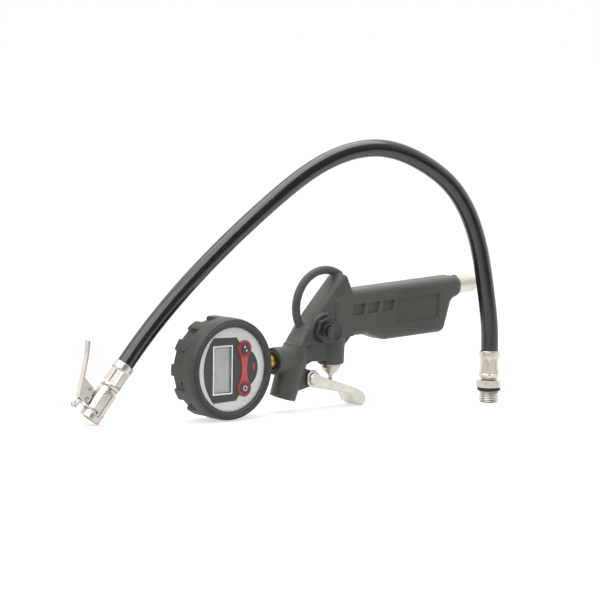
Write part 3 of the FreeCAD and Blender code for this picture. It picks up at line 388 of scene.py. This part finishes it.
def softened(node, name, body, voxel_mm, rounds, material, faces=0.5):
    """A moulded copy of a CAD solid whose inside and outside corners flow into each other."""
    piece = new_piece(name, NODES[node].data.copy(), body, material)
    remesh = piece.modifiers.new("even_skin", "REMESH")
    remesh.mode = "VOXEL"
    remesh.voxel_size = voxel_mm * MM
    blend = piece.modifiers.new("cast_blends", "SMOOTH")
    blend.factor = 0.5
    blend.iterations = rounds
    thin = piece.modifiers.new("fewer_faces", "DECIMATE")
    thin.ratio = faces
    apply_modifiers(piece)
    paint(piece, material)
    piece.data.shade_smooth()
    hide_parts(node)
    return piece


def ring_rows(rows, place, sides=96, lobes=None):
    """A closed skin through rings of (radius, height), each radius changed by the lobes function."""
    mesh = bmesh.new()
    rings = []
    for radius, height in rows:
        ring = []
        for step in range(sides):
            angle = math.tau * step / sides
            reach = radius + (lobes(radius, angle, height) if lobes else 0)
            spot = Vector((reach * math.cos(angle), reach * math.sin(angle), height))
            ring.append(mesh.verts.new(place @ (spot * MM)))
        rings.append(ring)
    for low, high in zip(rings, rings[1:] + rings[:1]):
        for step in range(sides):
            following = (step + 1) % sides
            mesh.faces.new((low[step], low[following], high[following], high[step]))
    bmesh.ops.recalc_face_normals(mesh, faces=mesh.faces)
    data = bpy.data.meshes.new("turned")
    mesh.to_mesh(data)
    mesh.free()
    return data


# ---------------------------------------------------------------- castings and mouldings

EDGE = ((62.2, 47.5), (65.4, 55.7), (69.6, 59.6), (74.2, 65.7), (97.8, 90.1))   # front edge, along and up
EDGE_ROLL, PLATE_HALF, HOOK_HALF = 6.5, 9.2, 2.9    # depth of the rounding, half thickness of plate and hook
PAD_MIDDLE, PAD_REACH = (80.3, 54.7), 10.2          # round the deflate valve
ROLL_START, ROLL_FADE = 46, 8                       # height where the rounding begins, and how fast it grows


def edge_depth(flat):
    """How far a point lies inside the front edge, and the way inwards from there."""
    nearest, inward = Vector((EDGE_ROLL, 0)), Vector((0, 0))
    for start, end in zip(map(Vector, EDGE), map(Vector, EDGE[1:])):
        way = end - start
        along = min(1, max(0, (flat - start).dot(way) / way.length_squared))
        gap = flat - start - way * along
        nearest = min(nearest, gap, key=lambda item: item.length)
        inward += Vector((way.y, -way.x)).normalized() / (gap.length_squared + 1)
    inward.normalize()
    return math.copysign(nearest.length, nearest.dot(inward)), inward


def rolled_spot(spot):
    """Where a point of the casting goes when its front edge is rounded to half an ellipse, or None."""
    flat = Vector((spot.x, spot.z))
    if spot.y < 0 and (flat - Vector(PAD_MIDDLE)).length < PAD_REACH:
        return None
    inside, inward = edge_depth(flat)
    if inside >= EDGE_ROLL - 0.001 or (inside < -0.5 and abs(spot.y) < HOOK_HALF):
        return None
    depth = (EDGE_ROLL - inside) / EDGE_ROLL
    outside = max(1, math.hypot(depth, spot.y / PLATE_HALF))
    pull = (1 - 1 / outside) * min(1, (spot.z - ROLL_START) / ROLL_FADE)
    move = inward * depth * EDGE_ROLL * pull
    return Vector((spot.x + move.x, spot.y * (1 - pull), spot.z + move.y))


def full_edge(piece):
    """Rolls the sloping front edge of the casting over from face to face, then evens it."""
    inverse = GUN.inverted()
    mesh = bmesh.new()
    mesh.from_mesh(piece.data)
    rolled = []
    for vertex in mesh.verts:
        spot = inverse @ vertex.co / MM
        goal = rolled_spot(spot) if ROLL_START < spot.z < 91 and 58 < spot.x < 104 else None
        if goal:
            vertex.co = GUN @ (goal * MM)
            rolled.append(vertex)
    every_way = {"use_axis_x": True, "use_axis_y": True, "use_axis_z": True}
    for _ in range(4):
        bmesh.ops.smooth_vert(mesh, verts=rolled, factor=0.5, **every_way)
    mesh.to_mesh(piece.data)
    mesh.free()


full_edge(softened("gun_body", "gun_casting", "gun", 0.36, 3, CAST, 0.3))
softened("gauge_boot", "boot_moulding", "gauge", 0.27, 2, RUBBER, 0.25)
softened("trigger_lever", "trigger_casting", "trigger", 0.3, 4, LEVER)
for node in NODES.values():
    if node.name not in ("gun_body", "gauge_boot", "trigger_lever"):
        smooth(node)


# ---------------------------------------------------------------- threads

def whitworth(pitch, depth, start, stop, outside):
    """How far a rounded thread cuts in at an angle and height; zero away from the threaded radius."""
    def cut(radius, angle, height):
        if abs(radius - outside) > 0.01 or not start <= height <= stop:
            return 0
        fade = min(1, (height - start) / 0.5, (stop - height) / 0.5)
        return -depth * fade * (0.5 - 0.5 * math.cos(math.tau * (height / pitch - angle / math.tau)))
    return cut


def spread(start, stop, step):
    count = max(1, round((stop - start) / step))
    return [start + (stop - start) * index / count for index in range(count + 1)]


def hexagonal(across_flats, low, high):
    """Trims a turned collar to a hexagon between two heights."""
    def trim(radius, angle, height):
        if not low <= height <= high:
            return 0
        turn = (math.degrees(angle) % 60) - 30
        flat = across_flats / 2 / math.cos(math.radians(turn))
        return min(0, flat - radius)
    return trim


def threaded(name, node, body, place, rows, cuts, material):
    """A turned part with real thread and hexagon, in place of the plain CAD node if one is named."""
    mesh = ring_rows(rows, place, lobes=lambda radius, angle, height: sum(
        cut(radius, angle, height) for cut in cuts))
    piece = new_piece(name, mesh, body, material)
    smooth(piece, 30)
    if node:
        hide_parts(node)


def end_fitting():
    """Hose end: bored thread, neck for the seal, hexagon collar and the tail inside the hose."""
    stop = THREAD_LEN - 0.85
    thread = [(THREAD_R, height) for height in spread(0.9, stop, 0.11)]
    base = THREAD_LEN + 1.88
    collar = [(8.3, base), (8.6, base + 0.1), (9.1, base + 0.4), (9.1, base + 4.2), (8.8, base + 4.5),
              (8.4, base + 4.75), (8.0, base + 4.9)]
    rows = [(2.6, 0), (5.3, 0), (5.6, 0.2)] + thread + [(5.4, stop + 0.1), (5.4, base - 0.02)] + collar
    rows += [(5.1, base + 5.0), (5.1, base + 6.2), (3.4, base + 6.2), (3.4, 32), (2.6, 32)]
    cuts = (whitworth(THREAD_PITCH, 0.5, 0.9, stop, THREAD_R), hexagonal(15.6, base - 0.01, base + 4.95))
    place = TAIL @ shift(axis="Z", angle=45.5)
    threaded("end_fitting_threaded", "end_fitting", "hose", place, rows, cuts, NICKEL)


def outlet_thread():
    """Female thread standing inside the gun's outlet."""
    place = GUN @ shift(53.2, 0, 9.1, "Y", 19.5)
    inside = [(6.2, height) for height in spread(1.2, 10.5, 0.11)]
    rows = [(6.7, 1.2)] + inside + [(6.7, 10.5)]
    cut = whitworth(THREAD_PITCH, 0.5, 1.2, 10.5, 6.2)
    raised = (lambda radius, angle, height: -cut(radius, angle, height),)
    threaded("outlet_thread", None, "gun", place, rows, raised, CAST)


def stem_thread():
    """Brass stem of the gauge: collar, grooved neck and a fine thread in the socket."""
    place = GUN @ shift(0, 0, 34.3, "Y", 90)
    outside, low, high = 5.68, 47.6, 55.8
    thread = [(outside, height) for height in spread(low, high, 0.1)]
    neck = [(outside, 24.2), (outside, 30.6), (4.7, 31.2), (4.7, 35.4), (4.3, 35.7), (4.3, 36.3), (4.7, 36.6)]
    neck.append((4.7, 47))
    rows = [(1.5, 15), (5.8, 15), (5.8, 24)] + neck + thread + [(5.2, 56.4), (4.7, 57), (1.5, 57)]
    cut = whitworth(1.0, 0.42, low, high, outside)
    threaded("gauge_stem_threaded", "gauge_stem", "gauge", place, rows, (cut,), BRASS)


def crimp_dents(count, flat, low, high):
    """Soft flats pressed into a sleeve: each a shallow trough that fades out at its ends and sides."""
    def dent(radius, angle, height):
        if radius < flat or not low < height < high:
            return 0
        turn = abs((math.degrees(angle) % (360 / count)) - 180 / count)
        depth = radius - flat / math.cos(math.radians(turn))
        side = min(1, max(0, (165 / count - turn) / (40 / count)))
        end = min(1, (height - low) / 0.9, (high - height) / 0.9)
        return -max(0, depth) * side * math.sin(end * math.pi / 2) ** 2
    return dent


def crimped(node, place, waist):
    """The crimped sleeve in place of the plain one: rolled ends and seven soft dents."""
    top = FERRULE_LEN
    outer = [(5.6, 0), (6.2, 0.12), (6.6, 0.5), (6.88, 1.1)]
    for height in spread(1.8, top - 0.6, 0.22):
        rise = min(1, max(0, (height - 3.4) / 2.4)) * min(1, max(0, (top - 3.6 - height) / 2.2))
        blend = math.sin(rise * math.pi / 2) ** 2
        outer.append((7.0 + 0.2 * min(1, max(0, (height - 12) / 2)) - waist * blend, height))
    outer += [(7.15, top - 0.3), (6.9, top - 0.05)]
    rows = [(3.5, 1.45), (3.5, 0)] + outer + [(5.88, top), (5.88, 1.5)]
    mesh = ring_rows(rows, place, sides=196, lobes=crimp_dents(7, 5.9, 2.4, top - 4.6))
    piece = new_piece(node + "_crimped", mesh, "hose", NICKEL)
    smooth(piece, 40)
    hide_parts(node)


def chuck_rivet():
    """Domed rivet head low on the chuck's flat."""
    place = CHUCK @ shift(-2.6, -6.28, 18.1, "X", 90)
    radius, rim, dome = 1.45, 0.12, 0.5
    rows = [(radius, -0.3), (radius, rim)]
    for turn in (15, 35, 55, 75):
        rows.append((radius * math.cos(math.radians(turn)), rim + dome * math.sin(math.radians(turn))))
    mesh = ring_rows(rows + [(0.05, rim + dome), (0.05, -0.3)], place, sides=32)
    smooth(new_piece("chuck_rivet", mesh, "hose", NICKEL), 50)


end_fitting()
outlet_thread()
stem_thread()
crimped("end_ferrule", TAIL @ shift(0, 0, FERRULE_FOOT, "Z", 35), 0.42)
crimped("chuck_ferrule", CHUCK @ shift(0, 0, 23.25, "Z", 10), 0.1)
chuck_rivet()


# ---------------------------------------------------------------- printing on the gauge, and a painted shadow round the display

def flat_shape(name, corners, holes, low, high, place, body, material):
    """A thin flat layer, for print and for the painted shadow strip: an outline with holes, raised between two
    heights.
    """
    curve = bpy.data.curves.new(name, "CURVE")
    curve.dimensions = "2D"
    curve.fill_mode = "BOTH"
    curve.extrude = (high - low) / 2 * MM
    for points in (corners, *holes):
        line = curve.splines.new("POLY")
        line.points.add(len(points) - 1)
        for point, spot in zip(line.points, points):
            point.co = (spot[0] * MM, spot[1] * MM, 0, 1)
        line.use_cyclic_u = True
    carrier = bpy.data.objects.new(name, curve)
    carrier.matrix_world = place @ shift(0, 0, (low + high) / 2)
    bpy.context.scene.collection.objects.link(carrier)
    bpy.context.view_layer.update()
    mesh = bpy.data.meshes.new_from_object(carrier.evaluated_get(bpy.context.evaluated_depsgraph_get()))
    mesh.transform(carrier.matrix_world)
    bpy.data.objects.remove(carrier)
    new_piece(name, mesh, body, material)


def box_points(left, low, right, high, corner, steps=6):
    """A rectangle with rounded corners, as points in order."""
    points = []
    for turn, across, along in ((0, right, high), (90, left, high), (180, left, low), (270, right, low)):
        centre = (across - math.copysign(corner, across - (left + right) / 2),
                  along - math.copysign(corner, along - (low + high) / 2))
        for step in range(steps + 1):
            angle = math.radians(turn + 90 * step / steps)
            points.append((centre[0] + corner * math.cos(angle), centre[1] + corner * math.sin(angle)))
    return points


def arc_points(radius, start, stop, steps):
    turns = [math.radians(start + (stop - start) * step / steps) for step in range(steps + 1)]
    return [(radius * math.cos(turn), radius * math.sin(turn)) for turn in turns]


LCD_MIDDLE, LCD_HALF = -7.2, 8.15          # the white frame's middle and half width, from the face's middle
KEY_ALONG, KEY_UP, KEY_TOP = 10.4, 12.9, 1.92       # the two keys lie at the same distance up and down
WHITE_PRINT = moulded("white_print", (0.80, 0.80, 0.80), (0.88, 0.88, 0.88), 0.4)
RED_PRINT = moulded("red_print", (0.60, 0.06, 0.05), (0.70, 0.09, 0.07), 0.4)
DEEP_RED = moulded("deep_red", (0.30, 0.028, 0.035), (0.37, 0.04, 0.045), 0.38)


def display_frame():
    """White line round the display, over a dark strip that is painted shadow just inside the frame, widest on its
    right side.
    """
    left, right = LCD_MIDDLE - LCD_HALF, LCD_MIDDLE + LCD_HALF
    # painted shadow: a dark strip showing just inside the white frame, widest on its right side
    flat_shape("display_shadow_strip", box_points(left, -16, right, 16, 0.3),
               [box_points(left + 1.1, -14.8, right - 1.4, 14.8, 0.3)], 0.03, 0.08, GAUGE, "gauge",
               FINISH["dark_print"])
    flat_shape("display_frame", box_points(left, -16, right, 16, 0.3),
               [box_points(left + 0.95, -15.05, right - 0.95, 15.05, 0.2)], 0.08, 0.16, GAUGE, "gauge",
               WHITE_PRINT)


def key_rings():
    """Deep red raised ring round each key."""
    profile = [(4.55 + 0.85 * math.cos(math.radians(turn)), 0.9 + 0.45 * math.sin(math.radians(turn)))
               for turn in range(0, 181, 20)]
    for name, up in (("key_ring_upper", KEY_UP), ("key_ring_lower", -KEY_UP)):
        mesh = ring_rows(profile, GAUGE @ shift(KEY_ALONG, up, 0), sides=72)
        smooth(new_piece(name, mesh, "gauge", DEEP_RED), 50)


def key_mark(name, corners, up, key):
    """White print sunk slightly into the top of a key."""
    place = GAUGE @ shift(KEY_ALONG, up, KEY_TOP)
    flat_shape(name, corners, [], -0.12, 0.03, place, key, WHITE_PRINT)


def power_mark():
    """Plain power sign on the lower key: an open ring and a bar."""
    outer = arc_points(1.75, 35, 325, 28)
    inner = list(reversed(arc_points(1.3, 35, 325, 28)))
    key_mark("power_ring", outer + inner, -KEY_UP, "power_key")
    key_mark("power_bar", box_points(0.7, -0.23, 2.1, 0.23, 0.1), -KEY_UP, "power_key")


def mode_mark():
    """Two plain triangles on the upper key."""
    key_mark("mode_arrow_a", [(-0.3, 0.45), (-0.3, 2.0), (-1.6, 1.2)], KEY_UP, "mode_key")
    key_mark("mode_arrow_b", [(0.3, -0.45), (0.3, -2.0), (1.6, -1.2)], KEY_UP, "mode_key")


def red_dash():
    """Short red bar between the keys."""
    corners = box_points(17.9, -1.5, 19.0, 2.6, 0.3)
    flat_shape("red_dash", corners, [], 0.2, 0.3, GAUGE, "gauge", RED_PRINT)


display_frame()
key_rings()
power_mark()
mode_mark()
red_dash()


# ---------------------------------------------------------------- studio

LOOK_AT = (57.41, -12, 75.17)    # on the gun's own axes, in millimetres
LOOK_FROM = 2.0                  # metres from there to the camera


def floor():
    bpy.ops.mesh.primitive_plane_add(size=12, location=(0, 0, -0.0003))
    plane = bpy.context.object
    plane.name = "studio_floor"
    plane.data.materials.append(floor_white())


def sky():
    """White to the eye; for light and reflections a pale room behind and a dark one towards the camera."""
    world = bpy.data.worlds.new("studio")
    bpy.context.scene.world = world
    world.use_nodes = True
    tree = world.node_tree
    tree.nodes.clear()
    place = tree.nodes.new("ShaderNodeTexCoord")
    facing = tree.nodes.new("ShaderNodeVectorMath")
    facing.operation = "DOT_PRODUCT"
    tree.links.new(place.outputs["Generated"], facing.inputs[0])
    facing.inputs[1].default_value = LEVEL_BACK
    level = tree.nodes.new("ShaderNodeMapRange")
    level.interpolation_type = "SMOOTHSTEP"
    for key, value in (("From Min", -0.4), ("From Max", 0.8), ("To Min", 1.35), ("To Max", 0.22)):
        level.inputs[key].default_value = value
    tree.links.new(facing.outputs["Value"], level.inputs["Value"])
    room = tree.nodes.new("ShaderNodeBackground")
    tree.links.new(level.outputs["Result"], room.inputs["Strength"])
    room.inputs["Color"].default_value = (1, 0.99, 0.97, 1)
    backdrop = tree.nodes.new("ShaderNodeBackground")
    backdrop.inputs["Color"].default_value = (1, 1, 1, 1)
    backdrop.inputs["Strength"].default_value = 1.0
    path = tree.nodes.new("ShaderNodeLightPath")
    choose = tree.nodes.new("ShaderNodeMixShader")
    tree.links.new(path.outputs["Is Camera Ray"], choose.inputs["Fac"])
    tree.links.new(room.outputs[0], choose.inputs[1])
    tree.links.new(backdrop.outputs[0], choose.inputs[2])
    out = tree.nodes.new("ShaderNodeOutputWorld")
    tree.links.new(choose.outputs[0], out.inputs["Surface"])


def softbox(name, spot, size, power, target=(0.0, 0.0, 0.07)):
    light = bpy.data.lights.new(name, "AREA")
    light.shape = "RECTANGLE"
    light.size, light.size_y = size
    light.energy = power
    lamp = bpy.data.objects.new(name, light)
    bpy.context.scene.collection.objects.link(lamp)
    lamp.location = spot
    lamp.rotation_euler = (Vector(target) - Vector(spot)).to_track_quat("-Z", "Y").to_euler()


def camera():
    back = LEVEL_BACK * math.cos(VIEW_RISE) + Vector((0, 0, math.sin(VIEW_RISE)))
    level = Vector((math.cos(VIEW_AZIMUTH), math.sin(VIEW_AZIMUTH), 0))
    rise = back.cross(level)
    right = math.cos(VIEW_ROLL) * level + math.sin(VIEW_ROLL) * rise
    up = math.cos(VIEW_ROLL) * rise - math.sin(VIEW_ROLL) * level
    data = bpy.data.cameras.new("camera")
    data.lens = 182.4
    data.sensor_width = 36
    eye = bpy.data.objects.new("camera", data)
    bpy.context.scene.collection.objects.link(eye)
    target = GUN @ (Vector(LOOK_AT) * MM)
    place = Matrix((right, up, back)).transposed().to_4x4()
    place.translation = target + back * LOOK_FROM
    eye.matrix_world = place
    data.clip_end = 100
    bpy.context.scene.camera = eye


floor()
sky()
softbox("ceiling", (0.0, 0.05, 1.15), (1.3, 1.3), 14, (0.0, 0.05, 0.0))
softbox("left_key", (-1.3, -0.3, 1.1), (2.2, 1.25), 21)
camera()
bpy.context.scene.view_settings.view_transform = "Standard"
bpy.context.scene.cycles.use_denoising = True
